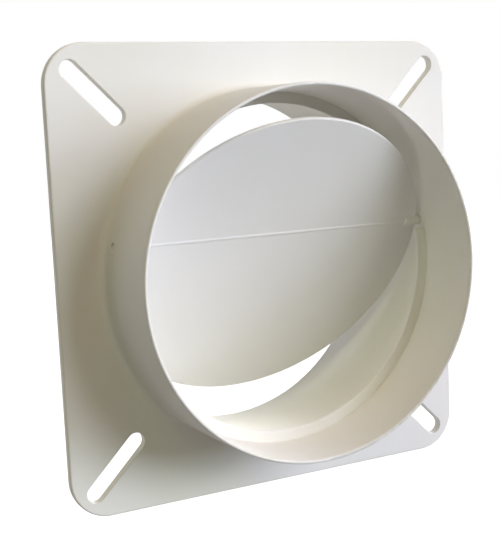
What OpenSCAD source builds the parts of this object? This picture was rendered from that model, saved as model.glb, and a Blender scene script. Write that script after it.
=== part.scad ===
// Dryer vent draft blocker: a square wall plate with a short duct collar on each face
// and a hinged round flap inside that closes against two half-ring stops.
// Frame: origin at the centre of the plate's wall face, on the duct axis.
// +Y points into the wall, the open mouth looks along -Y, +Z is up. Millimetres.

/* [Plate] */
// Width of the plate beyond the collar on each side
plate_rim = 12.5; // [10:0.5:25]
// Plate thickness
plate_t = 2.5; // [2:0.1:4]
// Radius of the plate's four corners
corner_r = 11; // [7:0.5:16]
// Rounding of the plate's front and back edges
plate_edge_r = 0.5; // [0.2:0.1:0.8]

/* [Screw slots] */
// Width of each diagonal screw slot
slot_w = 5.2; // [4:0.1:7]
// Plate left between a slot's outer end and the rounded corner
slot_bridge = 2.6; // [2:0.1:4]
// Plate left between a slot's inner end and the collar
slot_inset = 9; // [6:0.5:11]

/* [Duct collars] */
// Outside diameter of both collars
duct_d = 100; // [80:1:150]
// Height of the front collar above the plate's front face
front_len = 28; // [24:0.5:60]
// Height of the rear collar behind the wall face
rear_len = 27.5; // [15:0.5:60]
// Wall thickness of the collars at their open ends
wall_end = 1.0; // [0.8:0.05:1.4]
// Wall thickness at the hinge, where the drafted bore is narrowest
wall_mid = 1.4; // [1.4:0.05:2.4]
// Fillet where each collar meets the plate
base_r = 1.8; // [0.8:0.1:3]

/* [Stops] */
// Overlap of the stops with the flap's rim
stop_lap = 2; // [1.2:0.1:4]
// Thickness of each half-ring stop along the duct
stop_t = 1.6; // [1.2:0.1:2.4]
// Distance from the hinge line to the end of each stop
stop_start = 2.8; // [2.4:0.1:5]

/* [Flap] */
// Distance of the hinge line in front of the wall face
hinge_fwd = 8.2; // [6:0.1:12]
// Height of the hinge line above the duct axis
hinge_rise = 10; // [6:0.5:14]
// Opening angle of the flap as drawn, from closed
open_rest = 33; // [5:1:60]
// Flap thickness
flap_t = 1.2; // [1:0.1:1.8]
// Radius of the slim bead along the hinge line
bead_r = 0.8; // [0.7:0.05:1]
// Radius of the hub at each end of the bead
hub_r = 1.5; // [1.4:0.05:1.8]
// Length of each hub
hub_len = 4.6; // [3:0.1:8]
// Radius of the hinge pins
pin_r = 1.2; // [1:0.05:1.3]

/* [Hidden] */
$fn = 96;

// Clearances
pin_clear = 0.05;
hub_play = 0.32;
pin_sink = 0.1;
pin_chamfer = 0.25;
stop_clear = 0.15;
side_gap = 0.15;
foot_gap = 0.5;

// Small roundings and overlaps
stop_edge_r = 0.3;
flap_edge_r = 0.3;
weld = 0.5;
flange_w = 4;
cut = 1;

// Plate and slots
duct_r = duct_d / 2;
plate_w = duct_d + 2 * plate_rim;
corner_c = plate_w / 2 - corner_r;
corner_reach = corner_c * sqrt(2) + corner_r;
slot_r = slot_w / 2;
slot_in = duct_r + slot_inset + slot_r;
slot_out = corner_reach - slot_bridge - slot_r;

// Bore and flap
bore_end_r = duct_r - wall_end;
bore_mid_r = duct_r - wall_mid;
mouth_y = -plate_t - front_len;
lip_r = wall_end / 2;
flap_r = sqrt(pow(bore_mid_r, 2) - pow(hinge_rise, 2)) - side_gap;
flap_drop = bore_mid_r - flap_r - foot_gap;
flap_c = hinge_rise + flap_drop;
stop_r = flap_r - stop_lap;
stop_face = flap_t / 2 + stop_clear;
hub_end = sqrt(pow(bore_mid_r, 2) - pow(hinge_rise + hub_r, 2)) - hub_play;
pin_end = sqrt(pow(duct_r, 2) - pow(hinge_rise + pin_r, 2)) - pin_sink;

// Turns a shape drawn about Z so that its axis lies along +Y
module along_duct() {
    rotate([-90, 0, 0]) children();
}

// Turns a shape drawn about Z so that its axis lies along +X
module along_hinge() {
    rotate([0, 90, 0]) children();
}

// Section of the plate, w wide, with all four corners rounded
module plate_section(w) {
    translate([-w / 2 + plate_edge_r, -plate_t]) square([w - 2 * plate_edge_r, plate_t]);
    translate([-w / 2, -plate_t + plate_edge_r]) square([w, plate_t - 2 * plate_edge_r]);
    for (x = [-w / 2 + plate_edge_r, w / 2 - plate_edge_r])
        for (y = [-plate_t + plate_edge_r, -plate_edge_r])
            translate([x, y]) circle(plate_edge_r);
}

// One rounded quarter corner of the plate, about its own centre
module plate_corner() {
    along_duct()
        rotate_extrude(angle = 90)
            intersection() {
                plate_section(2 * corner_r);
                translate([0, -plate_t]) square([corner_r, plate_t]);
            }
}

// Diagonal screw slot towards +X +Z
module slot_cut() {
    rotate([0, -45, 0]) {
        for (d = [slot_in, slot_out])
            translate([d, cut, 0])
                rotate([90, 0, 0]) cylinder(r = slot_r, h = plate_t + 2 * cut);
        translate([slot_in, -plate_t - cut, -slot_r])
            cube([slot_out - slot_in, plate_t + 2 * cut, slot_w]);
    }
}

module plate() {
    difference() {
        union() {
            linear_extrude(height = 2 * corner_c, center = true) plate_section(plate_w);
            rotate([0, 90, 0])
                linear_extrude(height = 2 * corner_c, center = true) plate_section(plate_w);
            for (k = [0:3])
                rotate([0, 90 * k, 0]) translate([corner_c, 0, -corner_c]) plate_corner();
        }
        translate([0, cut, 0])
            rotate([90, 0, 0]) cylinder(r = duct_r - weld, h = plate_t + 2 * cut);
        for (k = [0:3])
            rotate([0, 90 * k, 0]) slot_cut();
    }
}

// Half section of the two collars: radius along x, duct direction along y
module tube_section() {
    polygon([
        [bore_end_r, mouth_y + lip_r],
        [duct_r, mouth_y + lip_r],
        [duct_r, rear_len - lip_r],
        [bore_end_r, rear_len - lip_r],
        [bore_mid_r, -hinge_fwd]
    ]);
    translate([duct_r - lip_r, mouth_y + lip_r]) circle(lip_r);
    translate([duct_r - lip_r, rear_len - lip_r]) circle(lip_r);
    translate([duct_r - weld, -plate_t]) square([flange_w + weld, plate_t]);
    difference() {
        translate([duct_r - weld, -plate_t - base_r])
            square([base_r + weld, base_r + plate_t / 2]);
        translate([duct_r + base_r, -plate_t - base_r]) circle(base_r);
    }
    difference() {
        translate([duct_r - weld, -plate_t / 2])
            square([base_r + weld, base_r + plate_t / 2]);
        translate([duct_r + base_r, base_r]) circle(base_r);
    }
}

// Section of a stop from its free inner edge into the wall, front face at y = 0
module stop_section() {
    translate([stop_r + stop_edge_r, 0])
        square([duct_r - wall_mid / 2 - stop_r - stop_edge_r, stop_t]);
    translate([stop_r, stop_edge_r])
        square([2 * stop_edge_r, stop_t - 2 * stop_edge_r]);
    for (y = [stop_edge_r, stop_t - stop_edge_r])
        translate([stop_r + stop_edge_r, y]) circle(stop_edge_r);
}

// Half-ring in front of the flap, below the hinge
module lower_stop() {
    intersection() {
        translate([0, -hinge_fwd - stop_face - stop_t, 0])
            along_duct() rotate_extrude() stop_section();
        translate([-duct_r, -hinge_fwd - duct_r, -duct_r])
            cube([duct_d, duct_d, duct_r + hinge_rise - stop_start]);
    }
}

// Half-ring behind the flap, above the hinge
module upper_stop() {
    intersection() {
        translate([0, -hinge_fwd + stop_face, 0])
            along_duct() rotate_extrude() stop_section();
        translate([-duct_r, -hinge_fwd - duct_r, hinge_rise + stop_start])
            cube([duct_d, duct_d, duct_r]);
    }
}

module vent_body() {
    color("#f2f1ec")
        difference() {
            union() {
                plate();
                along_duct() rotate_extrude() tube_section();
                lower_stop();
                upper_stop();
            }
            translate([-duct_r - cut, -hinge_fwd, hinge_rise])
                along_hinge() cylinder(r = pin_r + pin_clear, h = duct_d + 2 * cut);
        }
}

// Half section of the flap disc with a rounded rim
module flap_section() {
    translate([0, -flap_t / 2]) square([flap_r - flap_edge_r, flap_t]);
    translate([0, -flap_t / 2 + flap_edge_r]) square([flap_r, flap_t - 2 * flap_edge_r]);
    for (y = [-flap_t / 2 + flap_edge_r, flap_t / 2 - flap_edge_r])
        translate([flap_r - flap_edge_r, y]) circle(flap_edge_r);
}

// Hub and chamfered pin at the +X end of the hinge line
module hub_and_pin() {
    along_hinge()
        rotate_extrude()
            polygon([
                [0, hub_end - hub_len],
                [hub_r, hub_end - hub_len],
                [hub_r, hub_end],
                [pin_r, hub_end],
                [pin_r, pin_end - pin_chamfer],
                [pin_r - pin_chamfer, pin_end],
                [0, pin_end]
            ]);
}

module flap() {
    color("#f4f3ee")
        translate([0, -hinge_fwd, hinge_rise])
            rotate([open_rest, 0, 0])
                union() {
                    translate([0, 0, -flap_c])
                        along_duct() rotate_extrude() flap_section();
                    translate([-hub_end + weld, 0, 0])
                        along_hinge() cylinder(r = bead_r, h = 2 * (hub_end - weld));
                    hub_and_pin();
                    mirror([1, 0, 0]) hub_and_pin();
                }
}

vent_body();
flap();
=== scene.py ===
import math

import bpy
from mathutils import Matrix, Vector

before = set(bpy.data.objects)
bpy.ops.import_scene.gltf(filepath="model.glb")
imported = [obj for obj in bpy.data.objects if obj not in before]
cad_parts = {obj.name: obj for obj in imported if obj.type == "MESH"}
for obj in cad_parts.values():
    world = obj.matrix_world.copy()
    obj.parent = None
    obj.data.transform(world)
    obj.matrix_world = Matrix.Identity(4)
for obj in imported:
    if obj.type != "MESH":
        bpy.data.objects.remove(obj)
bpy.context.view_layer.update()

# Camera, found from the photograph: a pinhole at CAM_POS, turned from +Y towards +X by yaw
CAM_POS = (-0.14691, -0.27005, 0.03746)
CAM_YAW = math.radians(27.68)
CAM_PITCH = math.radians(-7.23)
CAM_ROLL = math.radians(-2.66)
FOCAL_PX = 1086.76
FRAME_W, FRAME_H = 500, 543
SENSOR_MM = 36.0

# Floor, well below the part, which hangs on a wall in use
FLOOR_Z = -0.34
FLOOR_SIZE = 8.0
FLOOR_TONE = 0.82
FLOOR_BOUNCE = 0.30
FLOOR_LIFT = 0.80

# World light on the part, and the white that the camera sees
FILL_TONE = (1.0, 0.98, 0.94, 1)
FILL_LEVEL = 0.03
WHITE = (1, 1, 1, 1)

# Moulded plastic: base tones, their warmer variation, and a painted highlight that makes the edges
# lighter
BODY_TONE = (0.88, 0.87, 0.83, 1)
BODY_WARM = (0.85, 0.835, 0.73, 1)
FLAP_TONE = (0.90, 0.89, 0.86, 1)
FLAP_WARM = (0.87, 0.855, 0.80, 1)
# Lighter tone of the painted highlight along the edges
EDGE_HIGHLIGHT_TONE = (0.93, 0.925, 0.90, 1)
ROUGH_LOW, ROUGH_HIGH = 0.40, 0.56
SPECULAR = 0.30

# Painted highlight along the edges: how far it reaches in from the edges (also the radius of the
# rounded normals), and how strongly it shows
EDGE_RADIUS = 0.0004
EDGE_HIGHLIGHT_LEVEL = 0.6

# Surface patterns, in cycles per metre; the flow marks are drawn out across the part
CLOUD_SCALE = 22
CLOUD_REACH = 0.75
FLOW_SCALE = 60
FLOW_STRETCH = (0.25, 1.0, 1.6)
WAVE_SCALE = 70
GRAIN_SCALE = 1400

# Relief of the slow waviness and of the satin grain: strength, depth in metres
WAVE_RELIEF = (0.22, 0.0009)
GRAIN_RELIEF = (0.14, 0.00006)

# Soft lights: name, azimuth (0 from the mouth side, 90 from +X), elevation, spread, colour strength
LIGHTS = (
    ("key_right", 55, 4, 28, (0.42, 0.48, 0.55)),
    ("key_front", 30, 20, 28, (0.36, 0.385, 0.40)),
    ("key_high", 55, 20, 28, (0.19, 0.15, 0.22)),
    ("low_warm", 60, -14, 28, (0.09, 0.06, 0.05)),
    ("left_high", 320, 42, 28, (0.14, 0.14, 0.08)),
    ("top_warm", 0, 68, 28, (0.11, 0.055, 0.03)),
    ("back_right", 142, 8, 40, (0.40, 0.40, 0.40)),
    ("back_left", 235, 12, 40, (0.12, 0.12, 0.115)),
    ("back_high", 180, 62, 40, (0.12, 0.12, 0.12)),
)


def camera_axes():
    """Right, up and forward of the fitted camera."""
    fwd = Vector((
        math.sin(CAM_YAW) * math.cos(CAM_PITCH),
        math.cos(CAM_YAW) * math.cos(CAM_PITCH),
        math.sin(CAM_PITCH),
    ))
    right = Vector((math.cos(CAM_YAW), -math.sin(CAM_YAW), 0))
    up = right.cross(fwd)
    c, s = math.cos(CAM_ROLL), math.sin(CAM_ROLL)
    return c * right + s * up, -s * right + c * up, fwd


def add_camera():
    data = bpy.data.cameras.new("camera")
    cam = bpy.data.objects.new("camera", data)
    bpy.context.scene.collection.objects.link(cam)
    right, up, fwd = camera_axes()
    place = Matrix((right, up, -fwd)).transposed().to_4x4()
    place.translation = Vector(CAM_POS)
    cam.matrix_world = place
    data.sensor_width = SENSOR_MM
    data.lens = FOCAL_PX * SENSOR_MM / max(FRAME_W, FRAME_H)
    data.clip_start = 0.01
    data.clip_end = 50
    bpy.context.scene.camera = cam


def add_light(name, azimuth, elevation, spread, strength):
    """A distant soft light; a white matt face square to it shows its colour times strength."""
    a, e = math.radians(azimuth), math.radians(elevation)
    toward = Vector((math.sin(a) * math.cos(e), -math.cos(a) * math.cos(e), math.sin(e)))
    peak = max(strength)
    data = bpy.data.lights.new(name, "SUN")
    data.energy = math.pi * peak
    data.color = [channel / peak for channel in strength]
    data.angle = math.radians(spread)
    lamp = bpy.data.objects.new(name, data)
    lamp.rotation_mode = "QUATERNION"
    lamp.rotation_quaternion = toward.to_track_quat("Z", "Y")
    bpy.context.scene.collection.objects.link(lamp)


def new_nodes(owner):
    """Empty node tree of a material or world, as its node list and a link function."""
    owner.use_nodes = True
    tree = owner.node_tree
    tree.nodes.clear()
    return tree.nodes, tree.links.new


def seen_directly(nodes, link):
    """1 for camera, glossy and transmission rays, 0 for rays that light the part."""
    path = nodes.new("ShaderNodeLightPath")
    total = path.outputs["Is Camera Ray"]
    for kind in ("Is Glossy Ray", "Is Transmission Ray"):
        either = nodes.new("ShaderNodeMath")
        either.operation = "MAXIMUM"
        link(total, either.inputs[0])
        link(path.outputs[kind], either.inputs[1])
        total = either.outputs[0]
    return total


def add_world():
    world = bpy.data.worlds.new("studio")
    bpy.context.scene.world = world
    nodes, link = new_nodes(world)
    fill = nodes.new("ShaderNodeBackground")
    fill.inputs["Color"].default_value = FILL_TONE
    fill.inputs["Strength"].default_value = FILL_LEVEL
    backdrop = nodes.new("ShaderNodeBackground")
    backdrop.inputs["Color"].default_value = WHITE
    backdrop.inputs["Strength"].default_value = 1.0
    mix = nodes.new("ShaderNodeMixShader")
    link(seen_directly(nodes, link), mix.inputs["Fac"])
    link(fill.outputs[0], mix.inputs[1])
    link(backdrop.outputs[0], mix.inputs[2])
    out = nodes.new("ShaderNodeOutputWorld")
    link(mix.outputs[0], out.inputs["Surface"])


def floor_material():
    """Matt floor, pale and lifted towards white for the eye only, so that it keeps the shadow."""
    mat = bpy.data.materials.new("floor")
    nodes, link = new_nodes(mat)
    seen = seen_directly(nodes, link)
    matt = nodes.new("ShaderNodeBsdfDiffuse")
    link(remap(nodes, link, seen, 0.0, 1.0, FLOOR_BOUNCE, FLOOR_TONE), matt.inputs["Color"])
    lift = nodes.new("ShaderNodeEmission")
    lift.inputs["Color"].default_value = WHITE
    link(remap(nodes, link, seen, 0.0, 1.0, 0.0, FLOOR_LIFT), lift.inputs["Strength"])
    total = nodes.new("ShaderNodeAddShader")
    link(matt.outputs[0], total.inputs[0])
    link(lift.outputs[0], total.inputs[1])
    out = nodes.new("ShaderNodeOutputMaterial")
    link(total.outputs[0], out.inputs["Surface"])
    return mat


def add_floor():
    half = FLOOR_SIZE / 2
    corners = [(x * half, y * half, FLOOR_Z) for x, y in ((-1, -1), (1, -1), (1, 1), (-1, 1))]
    mesh = bpy.data.meshes.new("floor")
    mesh.from_pydata(corners, [], [range(len(corners))])
    floor = bpy.data.objects.new("floor", mesh)
    floor.data.materials.append(floor_material())
    bpy.context.scene.collection.objects.link(floor)


def noise(nodes, link, coords, scale, detail, stretch=(1, 1, 1)):
    """Noise factor over the part's own coordinates, scale in cycles per metre."""
    place = nodes.new("ShaderNodeMapping")
    place.inputs["Scale"].default_value = stretch
    link(coords, place.inputs["Vector"])
    tex = nodes.new("ShaderNodeTexNoise")
    tex.inputs["Scale"].default_value = scale
    tex.inputs["Detail"].default_value = detail
    link(place.outputs[0], tex.inputs["Vector"])
    return tex.outputs["Fac"]


def remap(nodes, link, value, low, high, to_low, to_high):
    """Value mapped from low..high to to_low..to_high, held at both ends."""
    fit = nodes.new("ShaderNodeMapRange")
    link(value, fit.inputs["Value"])
    fit.inputs["From Min"].default_value = low
    fit.inputs["From Max"].default_value = high
    fit.inputs["To Min"].default_value = to_low
    fit.inputs["To Max"].default_value = to_high
    return fit.outputs["Result"]


def blend_tone(nodes, link, factor, first, second):
    """Colour mix; first is a socket or a fixed tone, second a fixed tone."""
    mix = nodes.new("ShaderNodeMix")
    mix.data_type = "RGBA"
    link(factor, mix.inputs["Factor"])
    if isinstance(first, tuple):
        mix.inputs["A"].default_value = first
    else:
        link(first, mix.inputs["A"])
    mix.inputs["B"].default_value = second
    return mix.outputs["Result"]


def relief(nodes, link, height, strength, depth, normal):
    """Normal bent by a height pattern, on top of another normal."""
    bump = nodes.new("ShaderNodeBump")
    bump.inputs["Strength"].default_value = strength
    bump.inputs["Distance"].default_value = depth
    link(height, bump.inputs["Height"])
    link(normal, bump.inputs["Normal"])
    return bump.outputs[0]


def moulded_plastic(name, tone, warm):
    """White moulded plastic: cloudy warm tint, satin grain, faint flow marks, painted highlight
    along the edges.
    """
    mat = bpy.data.materials.new(name)
    nodes, link = new_nodes(mat)
    coords = nodes.new("ShaderNodeTexCoord").outputs["Object"]

    # Edges, from how far the rounded normal leans away from the face's own; this mask carries the
    # painted edge highlight
    rounded = nodes.new("ShaderNodeBevel")
    rounded.samples = 6
    rounded.inputs["Radius"].default_value = EDGE_RADIUS
    face = nodes.new("ShaderNodeNewGeometry")
    lean = nodes.new("ShaderNodeVectorMath")
    lean.operation = "DOT_PRODUCT"
    link(rounded.outputs[0], lean.inputs[0])
    link(face.outputs["Normal"], lean.inputs[1])
    edge_highlight = remap(nodes, link, lean.outputs["Value"], 0.80, 0.99, EDGE_HIGHLIGHT_LEVEL, 0.0)

    # Colour: cloudy tint a few centimetres across, and a painted highlight that lightens the edges
    cloud = noise(nodes, link, coords, CLOUD_SCALE, 3)
    cloud = remap(nodes, link, cloud, 0.38, 0.68, 0.0, CLOUD_REACH)
    colour = blend_tone(nodes, link, cloud, tone, warm)
    colour = blend_tone(nodes, link, edge_highlight, colour, EDGE_HIGHLIGHT_TONE)

    # Roughness: faint flow marks
    flow = noise(nodes, link, coords, FLOW_SCALE, 4, FLOW_STRETCH)
    rough = remap(nodes, link, flow, 0.30, 0.72, ROUGH_LOW, ROUGH_HIGH)

    # Relief: slow waviness of the skin under a fine satin grain
    waves = noise(nodes, link, coords, WAVE_SCALE, 2)
    normal = relief(nodes, link, waves, *WAVE_RELIEF, rounded.outputs[0])
    grain = noise(nodes, link, coords, GRAIN_SCALE, 3)
    normal = relief(nodes, link, grain, *GRAIN_RELIEF, normal)

    skin = nodes.new("ShaderNodeBsdfPrincipled")
    skin.inputs["Specular IOR Level"].default_value = SPECULAR
    link(colour, skin.inputs["Base Color"])
    link(rough, skin.inputs["Roughness"])
    link(normal, skin.inputs["Normal"])
    out = nodes.new("ShaderNodeOutputMaterial")
    link(skin.outputs[0], out.inputs["Surface"])
    return mat


def dress(node, mat):
    """Gives every material slot of a CAD node one material."""
    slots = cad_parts[node].material_slots
    for slot in slots:
        slot.material = mat


add_camera()
add_world()
add_floor()
for row in LIGHTS:
    add_light(*row)
dress("vent_body", moulded_plastic("body_plastic", BODY_TONE, BODY_WARM))
dress("flap", moulded_plastic("flap_plastic", FLAP_TONE, FLAP_WARM))

bpy.context.scene.view_settings.view_transform = "Standard"
